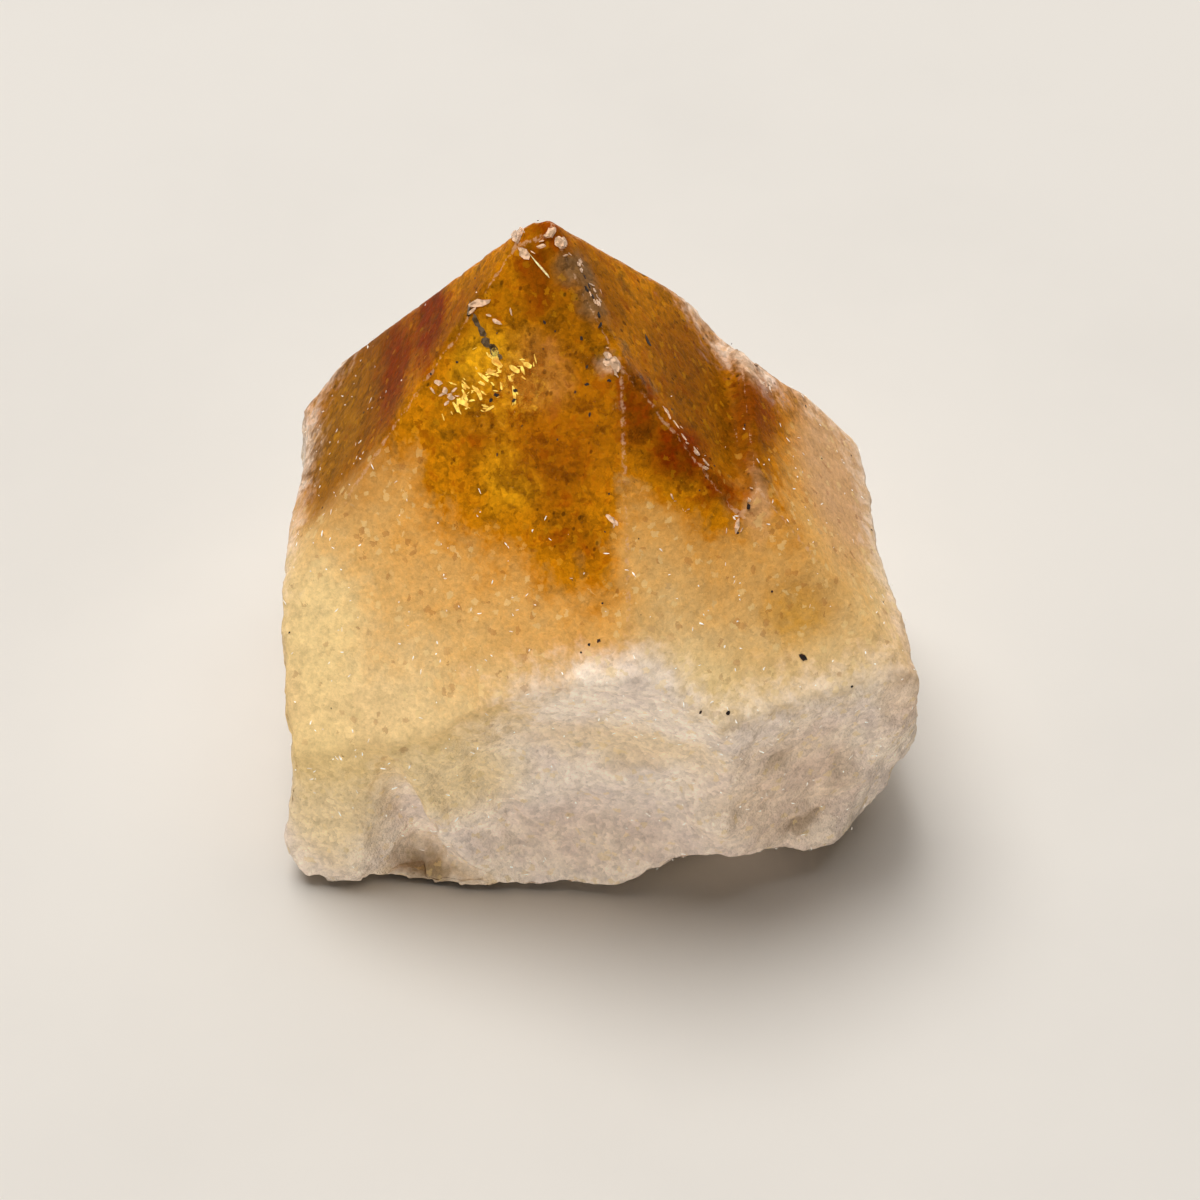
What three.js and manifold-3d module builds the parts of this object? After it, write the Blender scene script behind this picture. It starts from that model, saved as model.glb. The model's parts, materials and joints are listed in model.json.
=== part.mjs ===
// A citrine crystal point, broken from a geode, as one solid in millimetres.
//
// +Z is up, -Y is the front and +X is the right. The origin is under the middle of the stone, on the
// surface that it rests on. The upper part is a quartz pyramid: three rhombohedral faces that meet at
// the tip and three smaller ones between them, all at the same slope to the crystal's own axis. The
// lower part is where the crystal was held by its neighbours and then broken off, so it is bounded by
// steep contact faces, flat breaks, curved (conchoidal) breaks and the flat that it rests on.

import * as THREE from "three";
import { mergeVertices } from "three/addons/utils/BufferGeometryUtils.js";
import Module from "manifold-3d";

// ---- Driving dimensions ----------------------------------------------------------------------

const TIP = new THREE.Vector3(-4.3, 3.0, 54.4); // where the three large pyramid faces meet
const QUARTZ_SLOPE = 51.79; // rhombohedral face to the basal plane, a constant of quartz
const AXIS_LEAN_LEFT = 2.3; // degrees that the crystal axis leans towards -X
const AXIS_LEAN_BACK = 2.0; // degrees that it leans towards +Y
const STEP_HEIGHT = 2.0; // how far the right pyramid face stands proud beyond its growth step
const BLANK = 160; // side of the block that the stone is cut from, and of each cutting block
const BALL_DETAIL = 14; // subdivisions of the balls that make the curved breaks

// Compass angle of each face round the crystal axis (0 is the front, 90 the right) and how far the
// face stands outside the tip, which sets how big it grew against its neighbours.
const PYRAMID_FACES = [
  { facing: -30, outside: 0.0 },
  { facing: 30, outside: 4.5 },
  { facing: 90, outside: STEP_HEIGHT },
  { facing: 150, outside: 0.1 },
  { facing: 210, outside: 0.5 },
  { facing: 270, outside: 0.8 },
];

// The riser of the growth step on the right pyramid face. Left of it the face is STEP_HEIGHT lower.
const STEP = { face: 90, riser: { facing: -86, slope: 62, at: [11.3, -3, 35.9] } };

// Flat breaks and contact faces. "slope" is from the horizontal: 90 stands upright, and more than
// 90 faces down. Each passes through the point "at".
const FLAT_FACES = [
  { facing: -62, slope: 34, at: [-4.8, 2.6, 53.3] }, // chip off the tip
  { facing: 124, slope: 55, at: [16.0, 7.5, 32.9] }, // pale bevel behind the right shoulder
  { facing: 160, slope: 76, at: [15.6, 8.6, 31.9] }, // back right break, behind the bevel
  { facing: 225, slope: 70, at: [-25, 13.3, 26.3] }, // back left corner
  { facing: 98, slope: 83, at: [25, -3, 21.7] }, // right side
  { facing: -91, slope: 89, at: [-27.5, 0, 15] }, // left side
  { facing: -16, slope: 82, at: [-19.9, -25.0, 0] }, // front left block
  { facing: 25, slope: 87, at: [17, -22.8, 23] }, // front right break
  { facing: 52, slope: 100, at: [26.8, -18.8, 20.5] }, // front right corner
  { facing: 172, slope: 83, at: [2, 22, 12] }, // back
  { facing: 214, slope: 84, at: [-18, 20.5, 12] }, // back left
  { facing: 130, slope: 82, at: [21, 14, 10] }, // back right
];

// Undercuts round the foot. The stone rests on what they leave of its flat underside.
const UNDERCUTS = [
  { facing: 30, slope: 132, at: [17.5, -24, 4.5] },
  { facing: 92, slope: 124, at: [27.6, -10, 8] },
  { facing: 0, slope: 116, at: [5, -24.6, 0.7] },
  { facing: -86, slope: 110, at: [-27.4, -10, 0.8] },
  { facing: 178, slope: 124, at: [0, 22, 5] },
  { facing: 218, slope: 122, at: [-18, 20.5, 6] },
  { facing: 140, slope: 122, at: [20, 15, 5] },
];

// Re-entrant corners: what is outside every plane of a corner is gone.
const CORNERS = [
  [
    { facing: -2, slope: 91, at: [-8, -24.4, 10] }, // front break
    { facing: -16, slope: 94, at: [9.2, -26.3, 23.9] }, // its forward end
  ],
  [
    { facing: 22, slope: 92, at: [-17.7, -23.0, 15.6] }, // groove beside the front left block
    { facing: -35, slope: 104, at: [-17.7, -23.0, 15.6] }, // its right flank
    { facing: -9, slope: 38, at: [-14.9, -20.8, 2.2] }, // its stained foot
  ],
];

// Curved (conchoidal) breaks: a ball of this radius bites in to "depth" at the point "at".
const CURVED_BREAKS = [
  { facing: -3, slope: 90, at: [-3, -24.2, 14], radius: 42, depth: 2.2 }, // middle of the front
  { facing: 25, slope: 88, at: [17, -23.2, 12], radius: 46, depth: 1.2 }, // front right
  { facing: 6, slope: 146, at: [11.5, -23.6, 2.6], radius: 14, depth: 2.3 }, // arch under the front
  { facing: 97, slope: 84, at: [25.2, -4.6, 21], radius: 22, depth: 0.8 }, // right side
  { facing: -90, slope: 88, at: [-27.4, -17, 11], radius: 22, depth: 0.6 }, // left side
  { facing: -92, slope: 84, at: [-27.1, 5, 22], radius: 30, depth: 0.5 }, // left side, higher
  { facing: 140, slope: 58, at: [14.2, 7.6, 34.4], radius: 15, depth: 0.8 }, // right shoulder
  { facing: 170, slope: 82, at: [5, 22, 13], radius: 34, depth: 3.0 }, // back
  { facing: 212, slope: 84, at: [-17, 21, 14], radius: 26, depth: 2.2 }, // back left
  { facing: 128, slope: 80, at: [21, 14, 14], radius: 24, depth: 1.8 }, // back right
];

// ---- Solids ------------------------------------------------------------------------------------

const wasm = await Module();
wasm.setup();

// A closed three.js geometry as a manifold-3d solid.
function solidOf(geometry) {
  const bare = geometry.clone();
  bare.deleteAttribute("normal");
  bare.deleteAttribute("uv");
  const merged = mergeVertices(bare, 1e-4);
  return new wasm.Manifold(
    new wasm.Mesh({
      numProp: 3,
      vertProperties: merged.attributes.position.array,
      triVerts: new Uint32Array(merged.index.array),
    }),
  );
}

// A manifold-3d solid as a three.js geometry.
function geometryOf(solid) {
  const mesh = solid.getMesh();
  const geometry = new THREE.BufferGeometry();
  const points = new Float32Array(mesh.numVert * 3);
  for (let i = 0; i < mesh.numVert; i++) {
    points.set(mesh.vertProperties.subarray(i * mesh.numProp, i * mesh.numProp + 3), i * 3);
  }
  geometry.setAttribute("position", new THREE.BufferAttribute(points, 3));
  geometry.setIndex(new THREE.BufferAttribute(mesh.triVerts, 1));
  geometry.computeVertexNormals();
  return geometry;
}

// The outward direction of a face, from its compass angle and its slope.
function outward({ facing, slope }) {
  const turn = THREE.MathUtils.degToRad(facing);
  const steep = THREE.MathUtils.degToRad(slope);
  return new THREE.Vector3(
    Math.sin(steep) * Math.sin(turn),
    -Math.sin(steep) * Math.cos(turn),
    Math.cos(steep),
  );
}

// The outward direction of a pyramid face, which leans with the crystal axis.
function pyramidOutward(facing) {
  const lean = new THREE.Euler(
    THREE.MathUtils.degToRad(-AXIS_LEAN_BACK),
    THREE.MathUtils.degToRad(-AXIS_LEAN_LEFT),
    0,
  );
  return outward({ facing, slope: QUARTZ_SLOPE }).applyEuler(lean);
}

// Everything outside a plane, as a block whose near face lies on it.
function outsidePlane(point, normal) {
  const block = new THREE.BoxGeometry(BLANK, BLANK, BLANK);
  block.translate(0, 0, BLANK / 2);
  block.applyQuaternion(new THREE.Quaternion().setFromUnitVectors(new THREE.Vector3(0, 0, 1), normal));
  block.translate(point.x, point.y, point.z);
  return solidOf(block);
}

function outsideFace(face) {
  return outsidePlane(new THREE.Vector3(...face.at), outward(face));
}

// The ball that bites out a curved break.
function ball({ at, radius, depth, ...way }) {
  const sphere = new THREE.IcosahedronGeometry(radius, BALL_DETAIL);
  const centre = new THREE.Vector3(...at).addScaledVector(outward(way), radius - depth);
  sphere.translate(centre.x, centre.y, centre.z);
  return solidOf(sphere);
}

// The six pyramid faces cut from a block that stands on the resting surface.
function pyramid() {
  const block = new THREE.BoxGeometry(BLANK, BLANK, BLANK);
  block.translate(0, 0, BLANK / 2);
  return PYRAMID_FACES.reduce((solid, face) => {
    const normal = pyramidOutward(face.facing);
    return solid.subtract(outsidePlane(TIP.clone().addScaledVector(normal, face.outside), normal));
  }, solidOf(block));
}

// What the growth step takes off the right pyramid face.
function growthStep() {
  return outsidePlane(TIP, pyramidOutward(STEP.face)).intersect(outsideFace(STEP.riser));
}

function stone() {
  const cuts = [
    ...[...FLAT_FACES, ...UNDERCUTS].map(outsideFace),
    ...CURVED_BREAKS.map(ball),
    ...CORNERS.map((planes) => planes.map(outsideFace).reduce((gone, next) => gone.intersect(next))),
    growthStep(),
  ];
  return cuts.reduce((solid, cut) => solid.subtract(cut), pyramid());
}

const geometry = geometryOf(stone());
geometry.computeBoundingBox();
const middle = geometry.boundingBox.getCenter(new THREE.Vector3());
geometry.translate(-middle.x, -middle.y, 0);

const crystal = new THREE.Mesh(
  geometry,
  new THREE.MeshStandardMaterial({ color: "#c88a3a", roughness: 0.35, metalness: 0 }),
);
crystal.name = "citrine_crystal";

const model = new THREE.Group();
model.add(crystal);
export default model;
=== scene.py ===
# The looks of a citrine crystal point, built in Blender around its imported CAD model.
#
# The stone itself is a finely meshed copy of the CAD solid, with worn ridges, growth marks and a
# sugary broken base. Its glassy part is see-through, and what is sealed in it is modelled: a lumpy
# cloud and golden flakes. Chips, a crack, glints and iron specks lie on its faces.
# Metres, +Z up, in the frame of the CAD model.

import json
import math
import random

import bmesh
import bpy
from bpy.props import FloatProperty, FloatVectorProperty, IntProperty, PointerProperty
from mathutils import bvhtree, geometry, kdtree, noise, Matrix, Vector

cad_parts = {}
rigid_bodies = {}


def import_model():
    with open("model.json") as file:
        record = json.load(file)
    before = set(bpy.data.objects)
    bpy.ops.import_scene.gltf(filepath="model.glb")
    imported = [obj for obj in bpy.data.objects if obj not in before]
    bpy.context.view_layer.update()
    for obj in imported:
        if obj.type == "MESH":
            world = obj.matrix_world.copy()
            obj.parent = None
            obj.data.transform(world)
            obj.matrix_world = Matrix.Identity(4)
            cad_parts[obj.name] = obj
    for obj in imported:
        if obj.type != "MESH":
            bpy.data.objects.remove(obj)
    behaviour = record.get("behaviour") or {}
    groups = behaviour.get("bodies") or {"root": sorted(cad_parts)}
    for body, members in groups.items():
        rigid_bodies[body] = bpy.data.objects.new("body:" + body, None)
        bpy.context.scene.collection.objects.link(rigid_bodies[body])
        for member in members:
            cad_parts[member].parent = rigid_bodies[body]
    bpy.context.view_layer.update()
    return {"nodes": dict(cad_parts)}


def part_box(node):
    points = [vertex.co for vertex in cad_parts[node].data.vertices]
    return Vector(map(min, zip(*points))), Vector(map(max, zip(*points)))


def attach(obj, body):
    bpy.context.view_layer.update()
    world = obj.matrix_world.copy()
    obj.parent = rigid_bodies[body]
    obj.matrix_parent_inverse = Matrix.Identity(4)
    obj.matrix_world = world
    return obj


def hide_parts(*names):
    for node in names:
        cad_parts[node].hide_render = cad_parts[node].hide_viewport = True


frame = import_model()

bl_info = {
    "name": "Citrine Crystal Point",
    "version": (1, 0, 0),
    "blender": (4, 5, 0),
    "location": "View3D > Sidebar > Citrine",
    "description": "Builds a citrine crystal point and a plain stage for it",
    "category": "Add Mesh",
}

MM = 0.001
NODE = "citrine_crystal"
BODY = "root"
LOW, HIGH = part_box(NODE)
QUARTZ_IOR = 1.544
# The growth step on the right, and the fold over the front left block, where the edges are soft.
STEP_MIDDLE = Vector((0.0115, -0.002, 0.0365))
STEP_REACH = 14 * MM
STEP_WIDTH = 3 * MM
FOLD_MIDDLE = Vector((-0.023, -0.0195, 0.0185))
FOLD_REACH = 9 * MM
# A face that is steeper than this (the upward part of its normal) is a break, not a crystal face.
BREAK_SLOPE = 0.42
# How deep in a break, in millimetres, its roughness begins and is full.
BREAK_EDGE = (-0.4, 0.6)
# The least depth of the cloud, and the height up to which the foot is chipped.
CLOUD_DEPTH = 2.6 * MM
FOOT_HEIGHT = 3 * MM
FOOT_CHIP = 1.1 * MM
# Daylight through amber quartz, as it tints reflections and shadows.
AMBER_SHINE = (1.0, 0.72, 0.4, 1)
AMBER_SHADOW = (1.0, 0.8, 0.42, 1)
AMBER_DEPTH = (1.0, 0.66, 0.22, 1)
AMBER_DENSITY = 90.0
CAMERA_TARGET = (-0.034, 0.836, 12)
# The lamps: name, place, size and colour. Their powers are settings.
LAMPS = (
    ("key", (-0.5, 0.7, 1.95), 1.5, (1.0, 0.975, 0.95)),
    ("top", (0.15, 0.9, 2.05), 2.6, (1.0, 0.98, 0.96)),
    ("fill", (-0.6, -2.1, 0.75), 1.0, (1.0, 0.98, 0.97)),
)


def colour(code):
    """A colour from its hex code, as the linear values that Blender's sockets take."""
    parts = [int(code[i:i + 2], 16) / 255 for i in (1, 3, 5)]
    return tuple(p / 12.92 if p < 0.04045 else ((p + 0.055) / 1.055) ** 2.4 for p in parts)


def place(x, y, z):
    """A point of the stone, given in millimetres."""
    return Vector((x, y, z)) * MM


# ---- Settings -------------------------------------------------------------------------------


def colour_setting(name, description, code):
    return FloatVectorProperty(
        name=name, description=description, subtype="COLOR", size=3, min=0, max=1, default=colour(code)
    )


def length_setting(name, description, millimetres):
    return FloatProperty(
        name=name, description=description, default=millimetres * MM, min=0, unit="LENGTH", precision=5
    )


class CitrineColours(bpy.types.PropertyGroup):
    amber: colour_setting("Amber", "Clear colour under the pyramid faces", "#cd800a")
    # Partly amber colour and partly painted glow: round the golden flakes, and as the tint of the painted
    # glints.
    gold_and_glow: colour_setting("Gold", "Brightest amber, round the golden flakes", "#e8a416")
    red_brown: colour_setting("Red-brown", "Darkest streaks near the tip", "#7e2f02")
    brown: colour_setting("Brown", "Deeper amber of the side faces", "#7f4505")
    olive: colour_setting("Olive", "Dull amber on the left", "#a46c10")
    honey: colour_setting("Honey", "Just below the amber", "#dda253")
    cream: colour_setting("Cream", "Cloudy middle", "#e2b26c")
    pale: colour_setting("Pale", "Lowest part of the crystal faces", "#ecca90")
    yellow: colour_setting("Yellow", "Pale yellow along the left edge", "#f2d393")
    white: colour_setting("White", "Milky broken base", "#fcead4")
    grey_white: colour_setting("Greyish white", "Shaded patches of the broken base", "#e2cfc2")
    rose: colour_setting("Rose", "Pinkish bloom on the right side and the tip", "#d3a883")
    bloom: colour_setting("Bloom", "Chips and bruises on the faces", "#dcb592")
    grey: colour_setting("Grey", "Grey-brown patch beside the tip", "#84603a")
    tan: colour_setting("Tan", "Cloudy right side", "#d3a474")
    stain: colour_setting("Stain", "Iron stain in the hollows of the base", "#7d5f36")
    crack: colour_setting("Crack", "Open crack near the tip", "#57432a")
    speck: colour_setting("Speck", "Iron specks", "#1a0f06")


class CitrineSizes(bpy.types.PropertyGroup):
    mesh: length_setting("Mesh", "Size of the stone's mesh faces", 0.38)
    wear: length_setting("Ridge wear", "How far the ridges are worn back", 0.14)
    growth: length_setting("Growth relief", "Height of the growth marks on the pyramid faces", 0.05)
    break_relief: length_setting("Break relief", "Height of the ripples on the broken faces", 0.7)
    cloud_scale: FloatProperty(
        name="Cloud size",
        description="Size of the cloud against the stone",
        default=0.88,
        min=0.5,
        max=0.97,
    )
    flakes: IntProperty(name="Flakes", description="Golden flakes inside", default=90, min=0)
    glints: IntProperty(name="Glints", description="Pale glints at the surface", default=460, min=0)
    specks: IntProperty(name="Specks", description="Small iron specks at the surface", default=80, min=0)


class CitrineStage(bpy.types.PropertyGroup):
    floor: colour_setting("Floor", "Pale matt floor", "#f0ece5")
    elevation: FloatProperty(
        name="Elevation", description="Camera's height angle", default=math.radians(47), subtype="ANGLE"
    )
    distance: length_setting("Distance", "Camera to the middle of the stone", 280)
    lens: FloatProperty(name="Lens", description="Focal length in millimetres", default=92.4, min=1)
    key: FloatProperty(name="Key light", description="Power of the soft key light", default=28, min=0)
    top: FloatProperty(name="Top light", description="Power of the wide top light", default=24.5, min=0)
    fill: FloatProperty(name="Fill light", description="Power of the low front light", default=21.5, min=0)
    sky: FloatProperty(name="Sky", description="Strength of the even light all round", default=0.06, min=0)


# ---- Shader maths ---------------------------------------------------------------------------


class Value:
    """A socket of a shader, which can be used in sums like a number."""

    def __init__(self, graph, socket):
        self.graph = graph
        self.socket = socket

    def __add__(self, other):
        return self.graph.math("ADD", self, other)

    def __sub__(self, other):
        return self.graph.math("SUBTRACT", self, other)

    def __rsub__(self, other):
        return self.graph.math("SUBTRACT", other, self)

    def __mul__(self, other):
        return self.graph.math("MULTIPLY", self, other)

    __radd__ = __add__
    __rmul__ = __mul__

    def at_least(self, other):
        return self.graph.math("MAXIMUM", self, other)

    def at_most(self, other):
        return self.graph.math("MINIMUM", self, other)

    def step(self, low, high):
        """0 below low, 1 above high, and smooth between them."""
        settings = {"interpolation_type": "SMOOTHSTEP"}
        return self.graph.add("ShaderNodeMapRange", settings, {0: self, 1: low, 2: high, 3: 0.0, 4: 1.0})

    def output(self, name):
        """Another output of the same node."""
        return Value(self.graph, self.socket.node.outputs[name])


class Graph:
    """The nodes of one material."""

    def __init__(self, name):
        self.material = bpy.data.materials.new(name)
        self.material.use_nodes = True
        self.tree = self.material.node_tree
        self.tree.nodes.clear()

    def add(self, kind, settings=None, sockets=None, out=0):
        """One node: its settings first, then the values or links of its sockets."""
        node = self.tree.nodes.new(kind)
        for name, value in (settings or {}).items():
            if name == "stops":
                self.set_stops(node.color_ramp, value)
            elif name == "points":
                self.set_points(node.mapping, value)
            else:
                setattr(node, name, value)
        for name, value in (sockets or {}).items():
            if isinstance(value, Value):
                self.tree.links.new(value.socket, node.inputs[name])
            else:
                node.inputs[name].default_value = value
        return Value(self, node.outputs[out]) if node.outputs else None

    def set_stops(self, ramp, stops):
        while len(ramp.elements) < len(stops):
            ramp.elements.new(0.5)
        for element, (position, tint) in zip(ramp.elements, stops):
            element.position = position
            element.color = (*tint, 1)

    def set_points(self, mapping, points):
        curve = mapping.curves[0]
        while len(curve.points) < len(points):
            curve.points.new(0.5, 0.5)
        for place_on_curve, location in zip(curve.points, points):
            place_on_curve.location = location
        mapping.update()

    def math(self, operation, *values):
        return self.add("ShaderNodeMath", {"operation": operation}, dict(enumerate(values)))

    def vector(self, operation, *values, out=0):
        return self.add("ShaderNodeVectorMath", {"operation": operation}, dict(enumerate(values)), out)

    def mix(self, factor, first, second, blend="MIX"):
        """Two colours mixed. Either may be a tuple of three numbers."""
        first, second = (c if isinstance(c, Value) else (*c, 1) for c in (first, second))
        settings = {"data_type": "RGBA", "blend_type": blend}
        return self.add("ShaderNodeMix", settings, {0: factor, 6: first, 7: second}, out=2)

    def position(self):
        """Where the point is in the stone, in millimetres."""
        metres = self.add("ShaderNodeTexCoord", out="Object")
        return self.add(
            "ShaderNodeVectorMath", {"operation": "SCALE"}, {"Vector": metres, "Scale": 1 / MM}
        )

    def attribute(self, name):
        return self.add("ShaderNodeAttribute", {"attribute_name": name}, out="Fac")

    def noise(self, where, wavelength, detail=2.0, roughness=0.55, out=0):
        """Cloudy noise from 0 to 1 whose marks are about a wavelength apart."""
        sockets = {
            "Vector": where,
            "Scale": 1 / wavelength,
            "Detail": detail,
            "Roughness": roughness,
        }
        return self.add("ShaderNodeTexNoise", None, sockets, out)

    def cells(self, where, size):
        """Distance to the middles of random cells. Its Color output differs from cell to cell."""
        return self.add("ShaderNodeTexVoronoi", None, {"Vector": where, "Scale": 1 / size})

    def blob(self, where, middle, radii, soft=0.5):
        """1 inside an ellipsoid, falling to 0 outside it."""
        offset = self.vector("DIVIDE", self.vector("SUBTRACT", where, middle), radii)
        reach = self.vector("LENGTH", offset, out="Value")
        return 1 - reach.step(1 - soft, 1 + soft)

    def bump(self, height, depth, strength=1.0):
        """A normal from a height of 0 to 1, with the marks this deep."""
        return self.add(
            "ShaderNodeBump", None, {"Height": height, "Strength": strength, "Distance": depth}
        )

    def surface(self, **sockets):
        """The main shader, with its sockets' names written with underscores."""
        names = {name.replace("_", " "): value for name, value in sockets.items()}
        return self.add("ShaderNodeBsdfPrincipled", None, names)

    def mix_shader(self, factor, first, second):
        return self.add("ShaderNodeMixShader", None, {0: factor, 1: first, 2: second})

    def finish(self, **sockets):
        self.add("ShaderNodeOutputMaterial", None, sockets)
        return self.material


# ---- Where the stone has which colour ---------------------------------------------------------

# Where the crystal's axis stands, in millimetres.
AXIS = (-3, 2)
# Height of the amber's lower edge round the crystal's axis, in degrees from the front.
AMBER_EDGE = (
    (-180, 30),
    (-120, 21),
    (-92, 24),
    (-76, 30),
    (-64, 37),
    (-48, 34.5),
    (-15, 34),
    (6, 33.5),
    (14, 38),
    (20, 41),
    (27, 39.5),
    (36, 36.5),
    (53, 36),
    (86, 33),
    (105, 30),
    (180, 30),
)
# Where one colour gathers: its name, the middle and radii in millimetres, and how strong it is.
# Later ones lie over earlier ones.
GATHERINGS = (
    ("brown", (12.4, -4.0, 37.0), (1.8, 7.0, 3.2), 0.8),
    ("brown", (-24.0, 3.0, 29.5), (2.5, 8.0, 5.5), 0.6),
    ("brown", (8.5, -1.0, 40.5), (7.5, 8.5, 6.5), 0.75),
    ("brown", (-1.6, 0.5, 49.6), (5.2, 5.2, 4.6), 0.65),
    ("brown", (-11.0, 1.0, 46.5), (3.0, 4.0, 4.0), 0.5),
    ("brown", (-21.0, 6.0, 33.5), (6.5, 11.0, 7.5), 0.85),
    ("olive", (-22.5, 4.0, 29.5), (4.6, 8.0, 5.0), 0.7),
    ("red_brown", (-14.5, 6.0, 43.5), (2.0, 6.5, 6.5), 0.95),
    ("red_brown", (-17.6, 4.5, 37.6), (1.9, 7.0, 3.4), 0.85),
    ("red_brown", (-10.5, -1.5, 39.6), (1.5, 7.5, 4.0), 0.3),
    ("red_brown", (3.0, -8.0, 45.0), (1.7, 3.5, 4.0), 0.7),
    ("red_brown", (6.4, -9.6, 41.0), (3.0, 2.6, 2.6), 0.9),
    ("red_brown", (10.2, -11.0, 38.0), (2.4, 2.0, 1.8), 0.8),
    ("red_brown", (-4.0, -9.5, 39.0), (4.0, 4.0, 3.0), 0.35),
    ("red_brown", (-2.0, -14.5, 36.2), (2.6, 3.0, 1.6), 0.4),
    ("red_brown", (13.6, 1.2, 35.9), (2.2, 4.6, 2.6), 0.55),
    ("red_brown", (-5.6, 0.8, 51.0), (1.5, 2.4, 2.2), 0.6),
    # The gold round the golden flakes is partly amber and partly a painted glow from the flakes.
    ("gold_and_glow", (-8.4, -3.6, 43.4), (3.6, 4.0, 3.4), 0.9),
    ("gold_and_glow", (-7.6, -9.6, 38.2), (2.4, 4.0, 2.6), 0.6),
    ("olive", (16.8, -16.0, 29.6), (3.4, 2.8, 2.6), 0.4),
    ("gold_and_glow", (16.4, -17.0, 28.6), (2.6, 2.4, 2.4), 0.3),
    ("red_brown", (-4.2, 3.2, 54.0), (2.2, 2.2, 1.6), 0.7),
    ("yellow", (-23.6, -13.5, 23.0), (3.4, 5.5, 5.5), 0.7),
    ("yellow", (6.0, -22.0, 26.5), (9.0, 4.0, 3.0), 0.3),
    ("honey", (-5.2, -4.4, 45.0), (2.6, 3.4, 2.6), 0.35),
    ("rose", (0.7, -6.2, 47.4), (0.9, 1.2, 1.0), 0.8),
    ("tan", (13.2, 6.0, 37.4), (2.0, 3.0, 1.6), 0.6),
    ("tan", (20.6, 1.0, 28.5), (5.6, 10.0, 5.4), 0.95),
    ("tan", (13.0, -10.5, 35.6), (1.0, 4.5, 1.8), 0.55),
    ("grey", (-1.4, 1.3, 51.2), (1.9, 2.0, 2.2), 0.95),
    ("grey", (-0.4, -1.2, 50.0), (1.5, 1.8, 1.7), 0.9),
)

# What shows on the white base, in the same form.
BASE_STAINS = (
    ("pale", (1.0, -23.0, 18.5), (9.0, 4.0, 2.6), 0.5),
    ("yellow", (-13.0, -22.0, 14.0), (6.0, 3.0, 5.0), 0.7),
    ("grey_white", (1.0, -22.5, 10.0), (7.0, 4.0, 3.6), 0.5),
    ("yellow", (-23.5, -20.0, 11.0), (4.5, 6.0, 8.0), 0.7),
    ("tan", (17.0, -22.0, 12.0), (8.0, 4.5, 8.0), 0.35),
    ("tan", (26.0, -14.0, 20.0), (3.0, 7.0, 6.0), 0.35),
    ("stain", (-18.4, -22.4, 8.0), (1.8, 2.5, 5.0), 0.15),
    ("stain", (-15.4, -22.0, 1.2), (2.8, 3.0, 1.7), 0.6),
    ("stain", (17.4, -21.4, 7.0), (1.8, 3.0, 1.3), 0.55),
    ("stain", (15.2, -22.0, 16.6), (1.2, 2.0, 1.2), 0.4),
    ("stain", (21.0, -20.5, 12.0), (1.4, 2.0, 3.0), 0.2),
    ("rose", (-2.0, -23.0, 6.0), (9.0, 4.0, 4.0), 0.25),
)


class Zones:
    """The colour zones of the stone, as values that all its materials share."""

    def __init__(self, graph):
        self.graph = graph
        self.where = graph.position()
        drift = graph.noise(self.where, 3.6, detail=3, roughness=0.66, out="Color")
        self.drift = drift.output("Fac")
        centred = graph.vector("ADD", self.where, (-2.0, -2.0, -2.0))
        self.warped = graph.vector("MULTIPLY_ADD", drift, (4.0, 4.0, 4.0), centred)
        parts = graph.add("ShaderNodeSeparateXYZ", None, {0: self.where})
        self.x, self.y, self.z = (parts.output(name) for name in "XYZ")
        self.above = self.height_above_amber_edge()
        self.amber = self.above.step(-2.5, 2.5)

    def height_above_amber_edge(self):
        """Millimetres above the lower edge of the amber, which goes up and down round the stone."""
        g = self.graph
        facing = g.math("ARCTAN2", self.x - AXIS[0], AXIS[1] - self.y)
        points = [(angle / 360 + 0.5, height / 50) for angle, height in AMBER_EDGE]
        turn = g.math("MULTIPLY_ADD", facing, 1 / math.tau, 0.5)
        edge = g.add("ShaderNodeFloatCurve", {"points": points}, {"Value": turn})
        return self.z - 50 * edge + 7 * (self.drift - 0.5)

    def body_colour(self, c, mottle):
        """The colour at full depth, without specks or stains."""
        g = self.graph
        stops = [(0.0, c.pale), (0.3, c.pale), (0.52, c.cream), (0.7, c.honey), (0.84, c.amber)]
        rise = g.math("MULTIPLY_ADD", self.above + 5 * (mottle - 0.5), 1 / 25, 0.8)
        tint = g.add("ShaderNodeValToRGB", {"stops": stops}, {0: rise})
        tint = g.mix(mottle.step(0.5, 0.68) * self.amber * 0.6, tint, c.red_brown)
        tint = g.mix((1 - mottle.step(0.32, 0.48)) * self.amber * 0.4, tint, c.olive)
        uneven = (0.5 + mottle).at_most(1.15)
        for name, middle, radii, strength in GATHERINGS:
            amount = g.blob(self.warped, middle, radii) * uneven * strength
            tint = g.mix(amount, tint, getattr(c, name))
        return tint


# ---- Materials ----------------------------------------------------------------------------------


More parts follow.
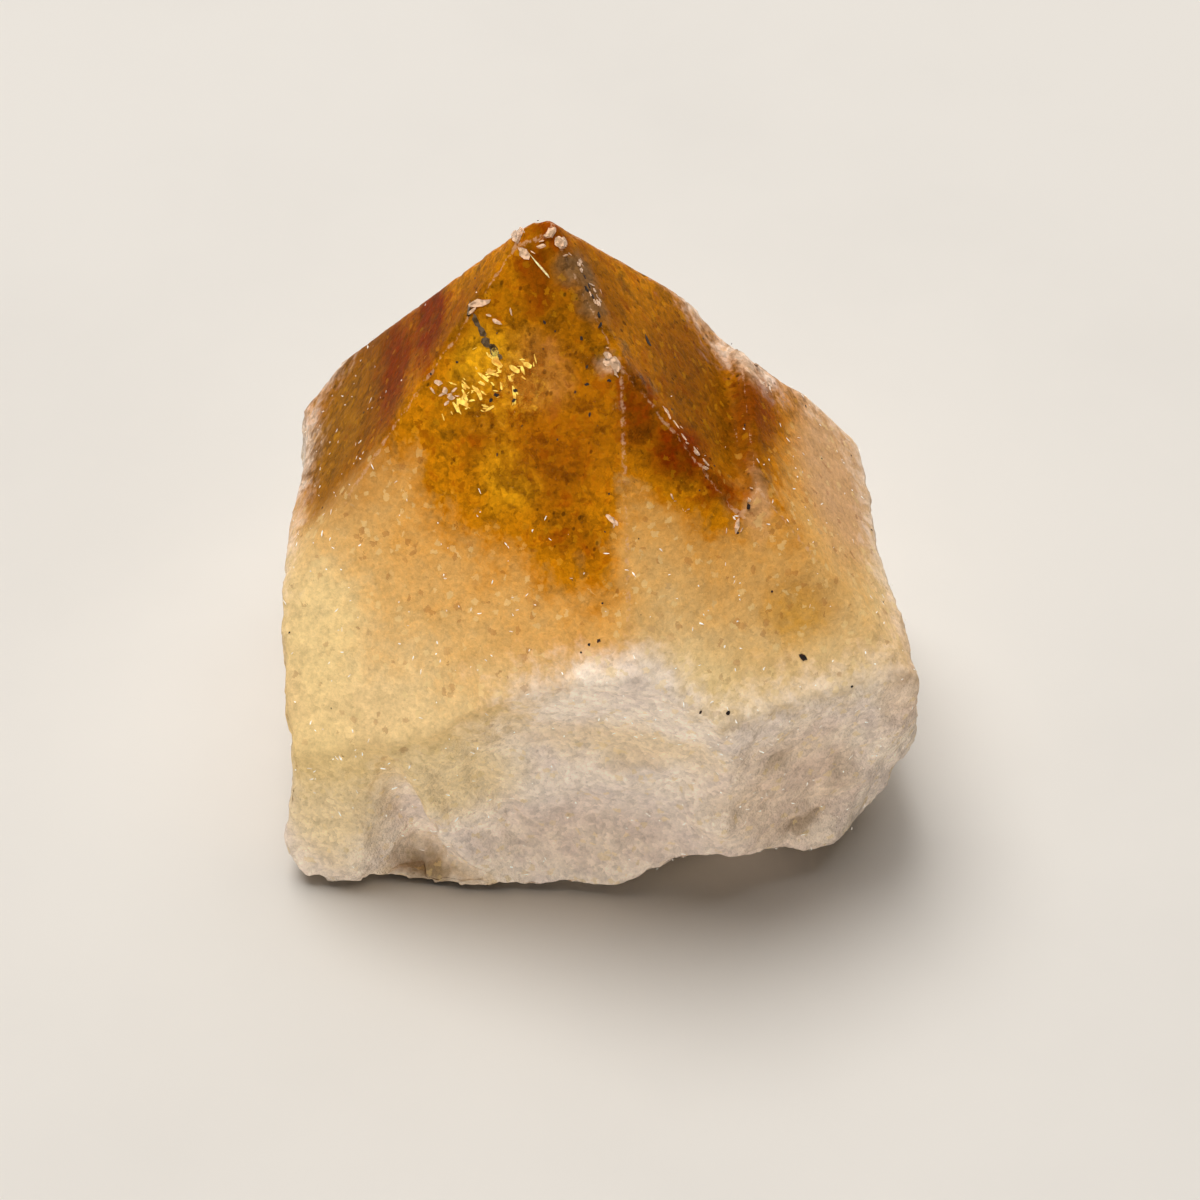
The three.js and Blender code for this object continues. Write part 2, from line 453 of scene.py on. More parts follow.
def stone_material(c):
    """Glassy amber crystal that turns cloudy lower down and white where it is broken."""
    g = Graph("citrine_stone")
    zones = Zones(g)
    where = zones.where
    depth_in_break = g.attribute("break_depth")
    broken = depth_in_break.step(*BREAK_EDGE)
    ridge = g.attribute("ridge")
    mottle = g.noise(zones.warped, 1.5, detail=3, roughness=0.6)
    grain = g.noise(where, 0.36, detail=2, roughness=0.75)
    shift = g.vector("MULTIPLY", grain.output("Color"), (0.5, 0.5, 0.5))
    crystals = g.cells(g.vector("ADD", where, shift), 0.5)
    crystal = g.add("ShaderNodeSeparateColor", None, {0: crystals.output("Color")})
    # Painted glints: a few random crystal cells are painted bright yellow or gold, as sparkle highlights.
    painted_glint = crystal.output("Green").step(0.93, 0.96)
    rusty = 1 - crystal.output("Blue").step(0.015, 0.035)

    tint = zones.body_colour(c, mottle)
    block = g.blob(where, (-22, -16, 17), (8, 8, 10), soft=0.8)
    peak = g.blob(zones.warped, (2.5, -23.6, 28.0), (4.5, 3.5, 3.5))
    hollow = g.blob(zones.warped, (-10.0, -21.8, 20.5), (6.0, 4.0, 4.0))
    spread = depth_in_break + 7 * (mottle - 0.5) + 6 * (zones.drift - 0.5)
    spread = spread - 6.5 * block + 2.5 * peak - 4 * hollow
    white = spread.step(-4.5, 3.5)
    tint = g.mix(white, tint, c.white)
    tint = g.mix((1 - zones.drift.step(0.35, 0.6)) * white * 0.7, tint, c.grey_white)
    for name, middle, radii, strength in BASE_STAINS:
        tint = g.mix(g.blob(zones.warped, middle, radii) * strength, tint, getattr(c, name))
    rough_mottle = mottle.step(0.25, 0.75)
    folds = (0.18 + 0.34 * zones.amber) * rough_mottle
    shade = 0.55 - 0.41 * zones.amber + (0.56 + 0.24 * zones.amber) * grain + folds
    shade = shade + (0.14 + 0.24 * zones.amber + 0.1 * white) * (crystal - 0.4) + 0.06
    shade = g.add("ShaderNodeCombineColor", None, {0: shade, 1: shade, 2: shade})
    tint = g.mix(1.0, tint, shade, blend="MULTIPLY")
    # The painted glints, pale yellow in the cloudy part and gold in the amber.
    tint = g.mix(painted_glint * (0.4 - 0.2 * zones.amber), tint, g.mix(zones.amber, c.yellow, c.gold_and_glow))
    tint = g.mix(rusty * 0.3 * (1 - white), tint, c.red_brown)
    chips = (ridge * (mottle + grain)).step(0.9, 1.15) * zones.above.step(-7, -3)
    tint = g.mix(chips * 0.55, tint, c.rose)
    dots = dark_dots(g, zones)
    tint = g.mix(dots, tint, c.speck)

    window = g.blob(zones.warped, (-8.6, -3.5, 43.5), (4.2, 4.2, 4.2))
    front = g.blob(where, (-4, -8, 43), (9, 7, 8))
    haze = 1.2 + 1.2 * (mottle - 0.5) - 0.6 * front - 0.25 * window
    cloudy = haze.at_least(1 - zones.amber).at_least(chips.at_least(dots)).at_most(1)

    relief = (grain * 0.55 + mottle * 0.25 + crystal * 0.2) * (0.35 + 0.65 * broken)
    normal = g.bump(relief, 0.4 * MM, 0.8)
    gloss = 0.16 + 0.2 * white + 0.2 * grain

    glass = g.surface(
        Base_Color=g.mix(0.5, tint, (1.0, 0.72, 0.3)),
        Roughness=gloss * 0.5,
        IOR=QUARTZ_IOR,
        Specular_Tint=AMBER_SHINE,
        Transmission_Weight=1.0,
        Normal=normal,
    )
    lamps = g.add("ShaderNodeBsdfTransparent", None, {0: AMBER_SHADOW})
    shadow = g.add("ShaderNodeLightPath", out="Is Shadow Ray")
    clear = g.mix_shader(shadow, glass, lamps)
    solid = g.surface(
        Base_Color=tint,
        Roughness=gloss + 0.15,
        IOR=QUARTZ_IOR,
        Specular_IOR_Level=0.01,
        Specular_Tint=(1.0, 0.8, 0.55, 1),
        Normal=normal,
    )
    depth = g.add(
        "ShaderNodeVolumeAbsorption", None, {"Color": AMBER_DEPTH, "Density": AMBER_DENSITY}
    )
    return g.finish(Surface=g.mix_shader(cloudy, clear, solid), Volume=depth)


def dark_dots(g, zones):
    """Small pits and specks on the pyramid faces, longest down the slope."""
    pits = g.cells(g.vector("MULTIPLY", zones.where, (1.0, 1.0, 0.55)), 1.0)
    dot = 1 - (pits + 0.55 * zones.drift).step(0.32, 0.42)
    return dot * zones.amber * 0.6


def cloud_material(c):
    """The cloudy inside: the same zones, deeper in colour, with darker folds."""
    g = Graph("citrine_cloud")
    zones = Zones(g)
    folds = g.noise(zones.warped, 2.4, detail=3, roughness=0.65)
    tint = zones.body_colour(c, folds)
    tint = g.mix((1 - folds.step(0.3, 0.5)) * 0.6, tint, c.gold_and_glow)
    normal = g.bump(folds, 1.0 * MM, 0.8)
    body = g.surface(
        Base_Color=tint,
        Roughness=0.45 + 0.3 * folds,
        Specular_IOR_Level=0.3,
        Specular_Tint=AMBER_SHINE,
        Normal=normal,
    )
    return g.finish(Surface=body)


def flake_material(name, tint, glow, shine=0.5):
    """A fracture surface that catches the light. Where glow is above 0, its colour also shines by that
    strength: a painted glow.
    """
    g = Graph(name)
    where = g.position()
    mottle = g.noise(where, 0.5, detail=2)
    pale = tuple(min(1.0, 0.03 + 1.35 * part) for part in tint)
    base = g.mix(mottle.step(0.35, 0.65), tuple(0.75 * part for part in tint), pale)
    body = g.surface(
        Base_Color=base,
        Roughness=0.15 + 0.25 * mottle,
        Specular_IOR_Level=shine,
        Emission_Color=base,
        Emission_Strength=glow,
    )
    return g.finish(Surface=body)


def speck_material(c):
    """Rusty iron."""
    g = Graph("iron_speck")
    where = g.position()
    rust = g.noise(where, 0.3, detail=3)
    tint = g.mix(rust.step(0.5, 0.7), c.speck, colour("#4a2408"))
    return g.finish(Surface=g.surface(Base_Color=tint, Roughness=0.45 + 0.3 * rust))


def floor_material(s):
    """A pale matt floor with the faintest mottling."""
    g = Graph("pale_floor")
    where = g.position()
    soft = g.noise(where, 60, detail=4, roughness=0.6)
    darker = tuple(0.97 * part for part in s.floor)
    tint = g.mix(soft.step(0.4, 0.7), s.floor, darker)
    return g.finish(Surface=g.surface(Base_Color=tint, Roughness=0.8 + 0.1 * soft))


# ---- Marks with a place of their own ------------------------------------------------------------

# Runs of ragged slivers on the faces: start and end, how many lie between them, their length, their
# widths at the start and at the end, and how far they stray, all in millimetres. Each sliver also
# leans from the line of its run by about the last number, in radians.
GOLD_RUNS = (
    ((-9, -2, 45), (-6, -5, 44), 5, 1.3, (0.8, 0.4), 0.5),
    ((-10, -3, 43), (-8, -5, 43), 5, 1.5, (0.3, 0.3), 0.8),
    ((-12, -3, 42), (-10, -5, 41), 4, 1.3, (0.3, 0.5), 0.5),
)
PALE_RUNS = (
    ((-5, 3, 53), (-3, 2, 53), 4, 1.0, (1.0, 0.7), 0.4),  # the tip
    ((-7, 5, 52), (-6, 2, 52), 3, 1.4, (1.0, 0.8), 0.3),  # left of the tip
    ((-2, 2, 51.5), (0.5, -2.5, 49.5), 6, 0.5, (0.3, 0.3), 0.6),  # the grey patch
    ((0, -5, 48), (1.5, -6.5, 47), 3, 1.2, (0.6, 1.0), 0.3),  # the top of the front right face
    ((-11, 1.5, 47), (-9, 1, 48), 1, 2.2, (0.7, 0.7), 0),  # over the crack
    ((-9, 0, 47), (-8, -1, 47), 1, 0.9, (0.5, 0.5), 0),  # beside the crack
    ((-14.5, -2, 42), (-12, -3.5, 41), 3, 0.8, (0.6, 0.5), 0.3),  # left of the golden flakes
    ((11, -3, 36.5), (12, -11.5, 36.5), 4, 1.6, (0.5, 0.5), 0.2),  # the growth step
    ((11.5, -12, 36.5), (11, -14, 35), 1, 1.3, (0.4, 0.4), 0),  # its lower end
    ((15, 4.5, 35), (13, 3.5, 37), 2, 1.0, (0.5, 0.4), 0.2),  # behind the growth step
    ((5, -7, 44), (9, -10, 39), 5, 0.9, (0.3, 0.25), 0.15),  # the ridge right of the front
    ((6, -12.5, 38.5), (7, -13.5, 37.5), 2, 1.2, (0.5, 0.25), 0.2),  # the front right face
    ((0.5, -14.5, 38.5), (1.5, -15, 38), 1, 1.2, (0.4, 0.4), 0),  # the ridge at the front
)
CRACK_RUNS = (
    ((-11, 1.5, 47), (-8.5, -2.5, 45), 5, 1.6, (0.35, 1.0), 0.12),
    ((-9, -1.5, 46), (-8, -2.5, 45), 2, 0.9, (0.45, 0.45), 0.3),
)
DARK_RUNS = (
    ((-2, 1.5, 51.5), (0.5, -3, 49), 6, 0.6, (0.28, 0.2), 0.5),  # the grey patch
    ((3.5, 0, 45), (4, -1, 44.5), 1, 1.3, (0.55, 0.55), 0),  # the right face
    ((11.5, -4, 36.5), (12.5, -12, 36.5), 4, 0.8, (0.3, 0.35), 0.2),  # the growth step
    ((-9, -5, 42.5), (-7, -5.5, 42.5), 4, 0.5, (0.35, 0.35), 0.5),  # under the golden flakes
    ((-1, -3, 49), (-2, -9, 43), 4, 0.4, (0.27, 0.25), 0.8),  # the front face
    ((16.5, -19, 26.5), (17, -19, 26), 1, 0.8, (0.55, 0.55), 0),  # above the base, on the right
    ((10, -24, 25), (11, -24, 25), 1, 0.5, (0.4, 0.4), 0),
    ((0.5, -21, 31), (-1.5, -21.5, 30), 2, 0.4, (0.3, 0.25), 0.1),
)
LINE_RUNS = (((-6, 2.5, 52), (-4, 0, 51), 1, 3.4, (0.16, 0.16), 0),)

# The seed of the noise that bends the facets of the breaks, so that each run gives the same ones.
NOISE_SEED = 26

# Creases and low ridges on the broken base: start, end, how far they reach to the left and to the
# right, and how deep they are, in millimetres. A negative depth is a ridge.
CREASES = (
    ((-18, -22.5, 14.5), (-15.5, -21, 3), 4.4, 2.0, 1.8),
    ((-18.5, -21.5, 18), (-14, -22, 9.5), 1.6, 2.6, -0.7),
    ((-6.5, -21.5, 10.5), (2, -21.5, 15), 2.6, 2.6, -0.8),
    ((2, -21.5, 15), (9.5, -24, 10.5), 2.6, 2.6, -0.8),
    ((8.5, -24, 21), (6, -23, 12), 2.4, 2.4, 0.6),
    ((-10.5, -21.5, 13.5), (-6, -21.5, 5), 2.2, 2.2, 0.5),
)


# ---- Meshes -------------------------------------------------------------------------------------


def new_piece(name, bm, material, smooth=False):
    """A finished piece at the origin that rides with the stone."""
    mesh = bpy.data.meshes.new(name)
    bm.to_mesh(mesh)
    bm.free()
    mesh.materials.append(material)
    if smooth:
        mesh.shade_smooth()
    piece = bpy.data.objects.new(name, mesh)
    bpy.context.scene.collection.objects.link(piece)
    piece["part of crystal"] = True
    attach(piece, BODY)
    return piece


def welded_stone():
    """The CAD solid as a bmesh with its doubles merged."""
    bm = bmesh.new()
    bm.from_mesh(frame["nodes"][NODE].data)
    bmesh.ops.remove_doubles(bm, verts=bm.verts, dist=1e-6)
    bm.normal_update()
    return bm


def remeshed(bm, size):
    """An even mesh of the same closed shape."""
    mesh = bpy.data.meshes.new("even")
    bm.to_mesh(mesh)
    thing = bpy.data.objects.new("even", mesh)
    bpy.context.scene.collection.objects.link(thing)
    modifier = thing.modifiers.new("even", "REMESH")
    modifier.mode = "VOXEL"
    modifier.voxel_size = size
    graph = bpy.context.evaluated_depsgraph_get()
    even = bpy.data.meshes.new_from_object(thing.evaluated_get(graph))
    bpy.data.objects.remove(thing)
    result = bmesh.new()
    result.from_mesh(even)
    bpy.data.meshes.remove(even)
    return result


def ridge_points(bm, sharp, spacing):
    """Points along the sharp ridges, in a tree that finds the nearest one."""
    points = []
    for edge in bm.edges:
        if len(edge.link_faces) == 1 or edge.calc_face_angle() > sharp:
            a, b = (v.co for v in edge.verts)
            count = max(1, int((a - b).length / spacing))
            points += [a.lerp(b, i / count) for i in range(count + 1)]
    tree = kdtree.KDTree(len(points))
    for i, point in enumerate(points):
        tree.insert(point, i)
    tree.balance()
    return tree


def fractal(point, wavelength, octaves=3):
    """Noise of about -1 to 1 at a point in metres."""
    return noise.fractal(point / wavelength, 0.9, 2.1, octaves)


def smooth_step(value, low, high):
    """0 below low, 1 above high, and smooth between them."""
    t = min(1.0, max(0.0, (value - low) / (high - low)))
    return t * t * (3 - 2 * t)


def stone_mesh(sizes):
    """The stone's surface, and how near a ridge and how deep in a break each of its points is."""
    solid = welded_stone()
    solid.verts.index_update()
    shape = bvhtree.BVHTree.FromBMesh(solid)
    breaks = faces_tree(solid, lambda normal: normal.z < BREAK_SLOPE)
    grown = faces_tree(solid, lambda normal: normal.z >= BREAK_SLOPE)
    ridges = ridge_points(solid, math.radians(14), 0.2 * MM)
    bm = remeshed(solid, sizes.mesh)
    solid.free()
    bm.verts.index_update()
    near_ridge = []
    depths = []
    for v in bm.verts:
        point, normal, _, _ = shape.find_nearest(v.co)
        v.co = point
        near_ridge.append(1 - smooth_step(ridges.find(point)[2], 0.1 * MM, 0.9 * MM))
        depths.append((grown.find_nearest(point)[3] - breaks.find_nearest(point)[3]) / MM)
    soften(bm, [v for v, near in zip(bm.verts, near_ridge) if near > 0.35], 3)
    step = [v for v in bm.verts if (v.co - STEP_MIDDLE).length < STEP_REACH]
    soften(bm, [v for v in step if abs(v.co.x - STEP_MIDDLE.x) < STEP_WIDTH], 40)
    soften(bm, [v for v in bm.verts if (v.co - FOLD_MIDDLE).length < FOLD_REACH], 70)
    crease(bm)
    curl_foot(bm, ridge_points(solid_foot(), 0.0, 0.3 * MM))
    bm.normal_update()
    relief(bm, sizes, near_ridge, depths)
    bm.normal_update()
    return bm, near_ridge, depths


def crease(bm):
    """Presses in the creases of the broken base and raises its low ridges."""
    bm.normal_update()
    for start, end, left, right, depth in CREASES:
        start, end = place(*start), place(*end)
        for v in bm.verts:
            if v.co.y > -10 * MM:
                continue
            along = min(1.0, max(0.0, geometry.intersect_point_line(v.co, start, end)[1]))
            nearest = start.lerp(end, along)
            reach = left if v.co.x < nearest.x else right
            near = 1 - (v.co - nearest).length / (reach * MM)
            if near > 0:
                v.co -= v.normal * near * depth * (0.5 + 0.5 * along) * MM


def solid_foot():
    """The flat underside of the CAD solid alone."""
    bm = welded_stone()
    upper = [f for f in bm.faces if f.normal.z > -0.99]
    bmesh.ops.delete(bm, geom=upper, context="FACES")
    return bm


def curl_foot(bm, outline):
    """Lifts the edge of the underside a little, more here and less there, as it is chipped all round."""
    for v in bm.verts:
        if v.co.z < FOOT_HEIGHT:
            on_floor = Vector((v.co.x, v.co.y, 0))
            near = 1 - smooth_step(outline.find(on_floor)[2], 0, FOOT_HEIGHT)
            chip = 0.35 + 0.65 * smooth_step(fractal(on_floor, 4 * MM), -0.5, 0.5)
            v.co.z += FOOT_CHIP * near * chip * (1 - v.co.z / FOOT_HEIGHT)


def faces_tree(bm, wanted):
    """The faces of a bmesh whose normals are wanted, in a tree that finds the nearest one."""
    verts = [v.co for v in bm.verts]
    faces = [[v.index for v in f.verts] for f in bm.faces if wanted(f.normal)]
    return bvhtree.BVHTree.FromPolygons(verts, faces)


def soften(bm, verts, rounds):
    """Evens out part of the surface, the more the more rounds."""
    for _ in range(rounds):
        bmesh.ops.smooth_vert(
            bm, verts=verts, factor=0.5, use_axis_x=True, use_axis_y=True, use_axis_z=True
        )


def relief(bm, sizes, near_ridge, depths):
    """Moves the surface: growth marks on the faces, ripples on the breaks, wear on the ridges."""
    noise.seed_set(NOISE_SEED)
    for v, near, depth in zip(bm.verts, near_ridge, depths):
        at = v.co
        if at.z < 0.05 * MM:
            continue
        rough = smooth_step(depth, *BREAK_EDGE)
        growth = sizes.growth * (fractal(at, 4.5 * MM) + 0.35 * fractal(at, 1.1 * MM, 2))
        shell = 0.8 * fractal(at, 7 * MM) + 0.3 * fractal(at, 1.8 * MM) + 0.2 * fractal(at, 0.7 * MM, 2)
        bent = at + noise.noise_vector(at / (6 * MM)) * 1.5 * MM
        facets = noise.voronoi(bent / (6 * MM))[0]
        shell += 1.5 * (facets[1] - facets[0]) - 0.8
        chip = smooth_step(fractal(at, 1.9 * MM), 0.05, 0.5)
        move = (1 - rough) * growth + rough * sizes.break_relief * 0.7 * shell
        move -= sizes.wear * near * (0.5 + 1.6 * chip)
        v.co = at + v.normal * move
        v.co.z = max(v.co.z, LOW[2])


def write_attribute(mesh, name, values):
    """One number for each point of a mesh, which its material reads."""
    layer = mesh.attributes.new(name, "FLOAT", "POINT")
    layer.data.foreach_set("value", values)


def cloud_mesh(sizes):
    """The cloud: the stone's own shape, smaller, with a lumpy surface."""
    solid = welded_stone()
    shape = bvhtree.BVHTree.FromBMesh(solid)
    middle = place(-1, 0, 18)
    shrink = Matrix.Translation(middle) @ Matrix.Scale(sizes.cloud_scale, 4) @ Matrix.Translation(-middle)
    bmesh.ops.transform(solid, matrix=shrink, verts=solid.verts)
    bm = remeshed(solid, 0.8 * MM)
    solid.free()
    bmesh.ops.smooth_vert(bm, verts=bm.verts, factor=0.5, use_axis_x=True, use_axis_y=True, use_axis_z=True)
    bm.normal_update()
    for v in bm.verts:
        lump = 0.7 * fractal(v.co, 5 * MM) + 0.4 * fractal(v.co, 2 * MM)
        v.co = v.co + v.normal * (lump * 1.1 - 0.4) * MM
        outside, normal, _, _ = shape.find_nearest(v.co)
        depth = (outside - v.co).dot(normal)
        if depth < CLOUD_DEPTH:
            v.co -= normal * (CLOUD_DEPTH - depth)
    bm.normal_update()
    return bm


def surface_spots(seed, count, accept):
    """Random points on the CAD solid's surface, with their normals."""
    draw = random.Random(seed)
    solid = welded_stone()
    faces = list(solid.faces)
    weights = [f.calc_area() for f in faces]
    spots = []
    while len(spots) < count:
        face = draw.choices(faces, weights)[0]
        a, b, c = (v.co for v in face.verts)
        u, w = sorted((draw.random(), draw.random()))
        point = a * u + b * (w - u) + c * (1 - w)
        if accept(point / MM, face.normal, draw):
            spots.append((point, face.normal.copy()))
    solid.free()
    return spots


def aligned(point, normal, draw, tilt=0.3):
    """A place on a face, turned at random about its normal and tilted a little."""
    lean = Vector((draw.gauss(0, tilt), draw.gauss(0, tilt), draw.gauss(0, tilt)))
    turn = (normal + lean).to_track_quat("Z", "Y").to_matrix().to_4x4()
    spin = Matrix.Rotation(draw.uniform(0, math.tau), 4, "Z")
    return Matrix.Translation(point) @ turn @ spin


def add_flake(bm, matrix, length, width, draw, thickness=0.03 * MM):
    """A thin chip with a ragged outline."""
    made = bmesh.ops.create_circle(bm, cap_ends=True, radius=0.5, segments=9)
    for v in made["verts"]:
        v.co *= draw.uniform(0.55, 1.15)
    faces = list({f for v in made["verts"] for f in v.link_faces})
    pushed = bmesh.ops.extrude_face_region(bm, geom=faces)
    top = [g for g in pushed["geom"] if isinstance(g, bmesh.types.BMVert)]
    bmesh.ops.translate(bm, verts=top, vec=(0, 0, 1))
    verts = made["verts"] + top
    shape = matrix @ Matrix.Diagonal((length, width, thickness, 1))
    bmesh.ops.transform(bm, matrix=shape, verts=verts)


def slivers(runs, seed, depth, thickness, fragments=0):
    """Runs of slivers on the stone's faces, this deep under them, with a few fragments round each."""
    draw = random.Random(seed)
    solid = welded_stone()
    shape = bvhtree.BVHTree.FromBMesh(solid)
    solid.free()
    bm = bmesh.new()
    for start, end, count, length, widths, stray in runs:
        start, end = place(*start), place(*end)
        for i in range(count):
            along = (i + 0.5) / count
            aside = Vector([draw.gauss(0, stray) * MM for _ in range(3)])
            point, normal, _, _ = shape.find_nearest(start.lerp(end, along) + aside)
            side = normal.cross(end - start).normalized()
            turn = Matrix((side.cross(normal), side, normal)).transposed().to_4x4()
            lean = Matrix.Rotation(draw.gauss(0, stray), 4, "Z")
            matrix = Matrix.Translation(point - normal * (depth + thickness)) @ turn @ lean
            width = (widths[0] * (1 - along) + widths[1] * along) * MM
            add_flake(bm, matrix, length * draw.uniform(0.8, 1.2) * MM, width, draw, thickness)
            for _ in range(fragments):
                offset = Matrix.Translation((draw.gauss(0, 0.7) * MM, draw.gauss(0, 0.6) * MM, 0))
                spin = Matrix.Rotation(draw.gauss(0.3, 0.6), 4, "Z")
                small = draw.uniform(0.2, 0.9) * MM
                ragged = draw.uniform(0.15, 0.4) * small
                add_flake(bm, matrix @ offset @ spin, small, ragged, draw, thickness)
    return bm


# ---- Operators ----------------------------------------------------------------------------------


class CITRINE_OT_stone(bpy.types.Operator):
    """Make the stone's surface"""

    bl_idname = "citrine.stone"
    bl_label = "Stone"

    def execute(self, context):
        scene = context.scene
        bm, near_ridge, depths = stone_mesh(scene.citrine_sizes)
        stone = new_piece("stone", bm, stone_material(scene.citrine_colours), smooth=True)
        write_attribute(stone.data, "ridge", near_ridge)
        write_attribute(stone.data, "break_depth", depths)
        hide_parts(NODE)
        return {"FINISHED"}


class CITRINE_OT_cloud(bpy.types.Operator):
    """Make the cloud inside the stone"""

    bl_idname = "citrine.cloud"
    bl_label = "Cloud"

    def execute(self, context):
        scene = context.scene
        material = cloud_material(scene.citrine_colours)
        new_piece("cloud", cloud_mesh(scene.citrine_sizes), material, smooth=True)
        return {"FINISHED"}


class CITRINE_OT_flakes(bpy.types.Operator):
    """Make the golden flakes under the front face"""

    bl_idname = "citrine.flakes"
    bl_label = "Golden flakes"

    def execute(self, context):
        scene = context.scene
        draw = random.Random(11)
        middle = place(-8.6, -3.2, 43.2)
        face = Vector((-0.42, -0.66, 0.63))
        bm = bmesh.new()
        for _ in range(scene.citrine_sizes.flakes):
            spread = Vector((draw.gauss(0, 2.6), draw.gauss(0, 2.2), draw.gauss(0, 2.0))) * MM
            point = middle + spread - face * (spread.dot(face) + draw.uniform(0.7, 2.2) * MM)
            turn = aligned(point, face, draw, tilt=0.5)
            add_flake(bm, turn, draw.uniform(0.3, 1.5) * MM, draw.uniform(0.12, 0.5) * MM, draw)
        # The golden flakes and slivers glow faintly: a painted glow that stands in for light caught inside
        # the stone.
        gold_and_glow = flake_material("golden_flake", (1.0, 0.56, 0.09), 0.25)
        new_piece("golden_flakes", bm, gold_and_glow)
        new_piece("golden_slivers", slivers(GOLD_RUNS, 21, -0.03 * MM, 0.2 * MM, 4), gold_and_glow)
        return {"FINISHED"}


class CITRINE_OT_chips(bpy.types.Operator):
    """Make the pale chips, the dark crack with the larger specks, and the bright line"""

    bl_idname = "citrine.chips"
    bl_label = "Chips and crack"

    def execute(self, context):
        scene = context.scene
        pale = flake_material("pale_chip", scene.citrine_colours.bloom, 0.0)
        new_piece("pale_chips", slivers(PALE_RUNS, 22, -0.04 * MM, 0.25 * MM, 2), pale)
        crack = flake_material("open_crack", scene.citrine_colours.crack, 0.0, 0.05)
        new_piece("crack", slivers(CRACK_RUNS, 25, -0.03 * MM, 0.2 * MM), crack)
        dark = speck_material(scene.citrine_colours)
        new_piece("dark_marks", slivers(DARK_RUNS, 23, -0.04 * MM, 0.2 * MM), dark)
        # The bright line glows faintly: a painted glow.
        line = flake_material("bright_line", (1.0, 0.75, 0.36), 0.1)
        new_piece("bright_line", slivers(LINE_RUNS, 24, -0.05 * MM, 0.15 * MM), line)
        return {"FINISHED"}


class CITRINE_OT_glints(bpy.types.Operator):
    """Make the pale glints at the surface of the cloudy part"""

    bl_idname = "citrine.glints"
    bl_label = "Glints"

    def execute(self, context):
        scene = context.scene

        def accept(point, normal, draw):
            chance = 0.08 if point.z > 37 else 1.0
            shows = normal.z > 0.4 or normal.y < -0.3
            return shows and 2 < point.z < 50 and draw.random() < chance

        draw = random.Random(12)
        bm = bmesh.new()
        for point, normal in surface_spots(5, scene.citrine_sizes.glints, accept):
            turn = aligned(point - normal * 0.02 * MM, normal, draw, tilt=0.25)
            add_flake(bm, turn, draw.uniform(0.12, 0.65) * MM, draw.uniform(0.06, 0.17) * MM, draw)
        # The glints are painted highlights: pale flakes whose colour glows faintly.
        new_piece("glints", bm, flake_material("pale_glint", scene.citrine_colours.white, 0.25))
        return {"FINISHED"}


class CITRINE_OT_specks(bpy.types.Operator):
    """Make the iron specks"""

    bl_idname = "citrine.specks"
    bl_label = "Iron specks"

    def execute(self, context):
        scene = context.scene

        def accept(point, normal, draw):
            chance = 0.9 if point.z > 36 else 0.12
            return normal.z > 0.4 and point.z > 18 and draw.random() < chance

        draw = random.Random(13)
        bm = bmesh.new()
        for point, normal in surface_spots(6, scene.citrine_sizes.specks, accept):
            matrix = aligned(point, normal, draw, tilt=0.1)
            size = draw.uniform(0.05, 0.13) * MM
            shape = matrix @ Matrix.Diagonal((size * draw.uniform(1, 1.8), size, size * 0.3, 1))
            bmesh.ops.create_icosphere(bm, subdivisions=1, radius=1, matrix=shape)
        new_piece("iron_specks", bm, speck_material(scene.citrine_colours))
        return {"FINISHED"}


def area_light(name, position, target, size, power, tint, only=None):
    """A soft round lamp. If only is given, it lights no other objects."""
    light = bpy.data.lights.new(name, "AREA")
    light.shape = "DISK"
    light.size = size
    light.energy = power
    light.color = tint
    lamp = bpy.data.objects.new(name, light)
    lamp.location = position
    lamp.rotation_euler = (position - target).to_track_quat("Z", "Y").to_euler()
    bpy.context.scene.collection.objects.link(lamp)
    if only:
        lit = bpy.data.collections.new("lit by " + name)
        for piece in only:
            lit.objects.link(piece)
        lamp.light_linking.receiver_collection = lit


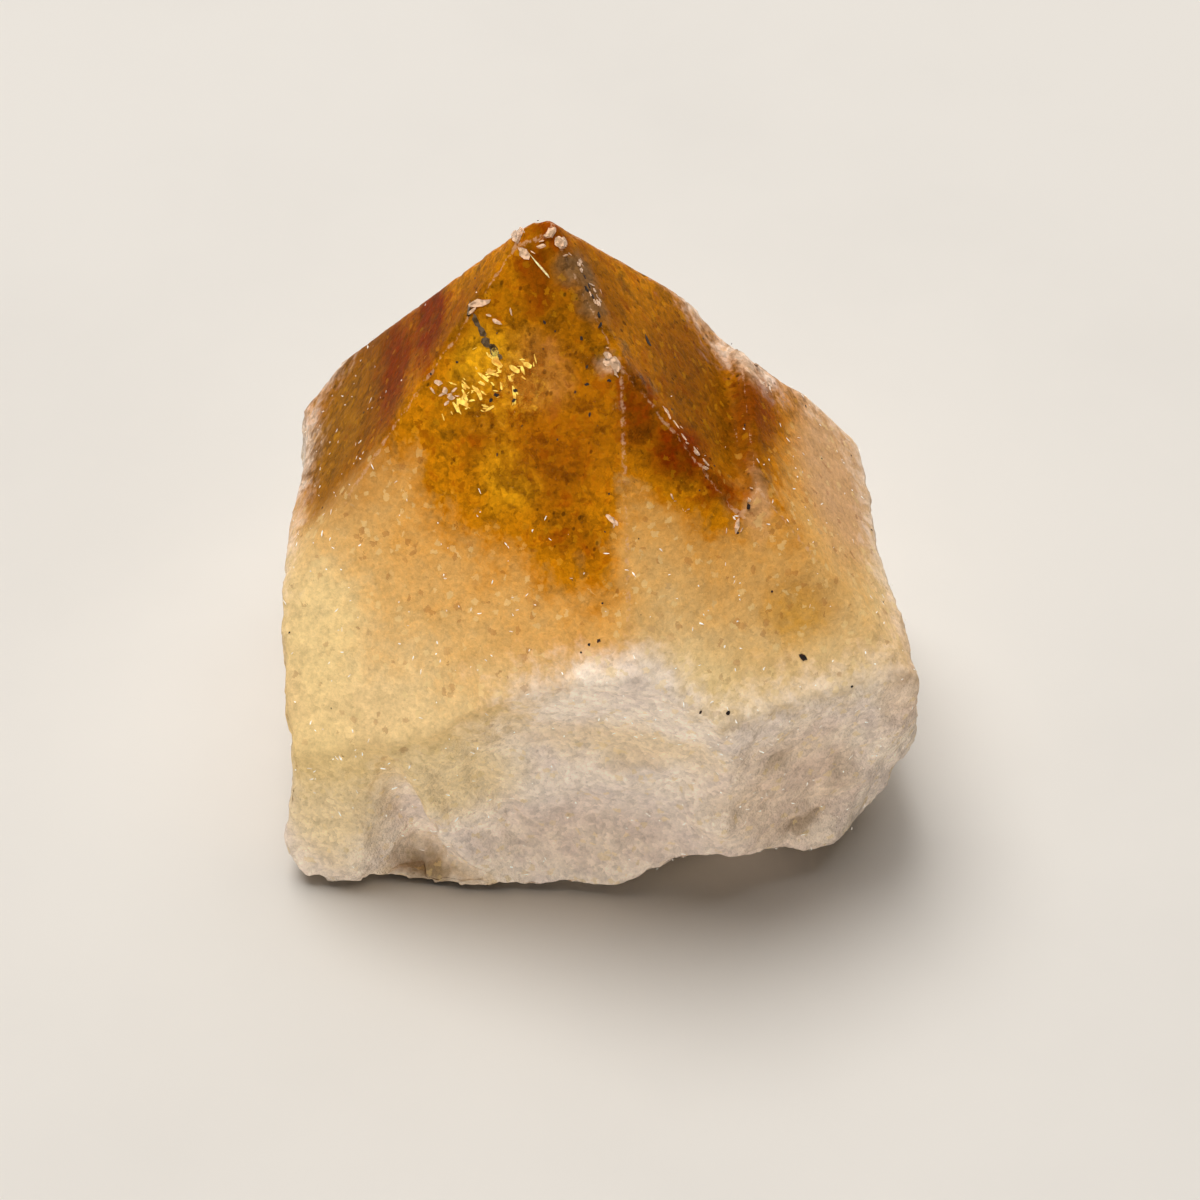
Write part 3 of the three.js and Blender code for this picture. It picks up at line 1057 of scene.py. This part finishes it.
class CITRINE_OT_stage(bpy.types.Operator):
    """Make the floor, the lights and the camera"""

    bl_idname = "citrine.stage"
    bl_label = "Stage"

    def execute(self, context):
        scene = context.scene
        s = scene.citrine_stage
        crystal = [thing for thing in scene.objects if thing.get("part of crystal")]
        bm = bmesh.new()
        bmesh.ops.create_grid(bm, x_segments=2, y_segments=2, size=2.5)
        mesh = bpy.data.meshes.new("floor")
        bm.to_mesh(mesh)
        bm.free()
        mesh.materials.append(floor_material(s))
        floor = bpy.data.objects.new("floor", mesh)
        scene.collection.objects.link(floor)

        target = place(*CAMERA_TARGET)
        for name, position, size, tint in LAMPS:
            only = crystal if name == "fill" else None
            area_light(name, Vector(position), target, size, getattr(s, name), tint, only)
        world = bpy.data.worlds.new("sky")
        world.use_nodes = True
        back = world.node_tree.nodes["Background"]
        back.inputs["Color"].default_value = (1.0, 0.975, 0.95, 1)
        back.inputs["Strength"].default_value = s.sky
        scene.world = world
        scene.view_settings.view_transform = "Standard"

        data = bpy.data.cameras.new("camera")
        data.lens = s.lens
        data.sensor_width = 36
        data.clip_start = 0.01
        camera = bpy.data.objects.new("camera", data)
        towards = Vector((0, -math.cos(s.elevation), math.sin(s.elevation)))
        camera.location = target + towards * s.distance
        camera.rotation_euler = towards.to_track_quat("Z", "Y").to_euler()
        scene.collection.objects.link(camera)
        scene.camera = camera
        return {"FINISHED"}


class CITRINE_PT_panel(bpy.types.Panel):
    """Lists what the citrine crystal point is made of"""

    bl_idname = "CITRINE_PT_panel"
    bl_label = "Citrine"
    bl_space_type = "VIEW_3D"
    bl_region_type = "UI"
    bl_category = "Citrine"

    def draw(self, context):
        for setting in SETTINGS:
            group = getattr(context.scene, setting)
            box = self.layout.box()
            for name in group.bl_rna.properties.keys():
                if name not in ("rna_type", "name"):
                    box.prop(group, name)
        for operator in OPERATORS:
            self.layout.operator(operator.bl_idname)


SETTINGS = {
    "citrine_colours": CitrineColours,
    "citrine_sizes": CitrineSizes,
    "citrine_stage": CitrineStage,
}
OPERATORS = (
    CITRINE_OT_stone,
    CITRINE_OT_cloud,
    CITRINE_OT_flakes,
    CITRINE_OT_chips,
    CITRINE_OT_glints,
    CITRINE_OT_specks,
    CITRINE_OT_stage,
)


def register():
    for group in (*SETTINGS.values(), *OPERATORS, CITRINE_PT_panel):
        bpy.utils.register_class(group)
    for name, group in SETTINGS.items():
        setattr(bpy.types.Scene, name, PointerProperty(type=group))


def unregister():
    for name in SETTINGS:
        delattr(bpy.types.Scene, name)
    for group in (CITRINE_PT_panel, *reversed(OPERATORS), *SETTINGS.values()):
        bpy.utils.unregister_class(group)


def main():
    register()
    bpy.ops.citrine.stone()
    bpy.ops.citrine.cloud()
    bpy.ops.citrine.flakes()
    bpy.ops.citrine.chips()
    bpy.ops.citrine.glints()
    bpy.ops.citrine.specks()
    bpy.ops.citrine.stage()


if __name__ == "__main__":
    main()
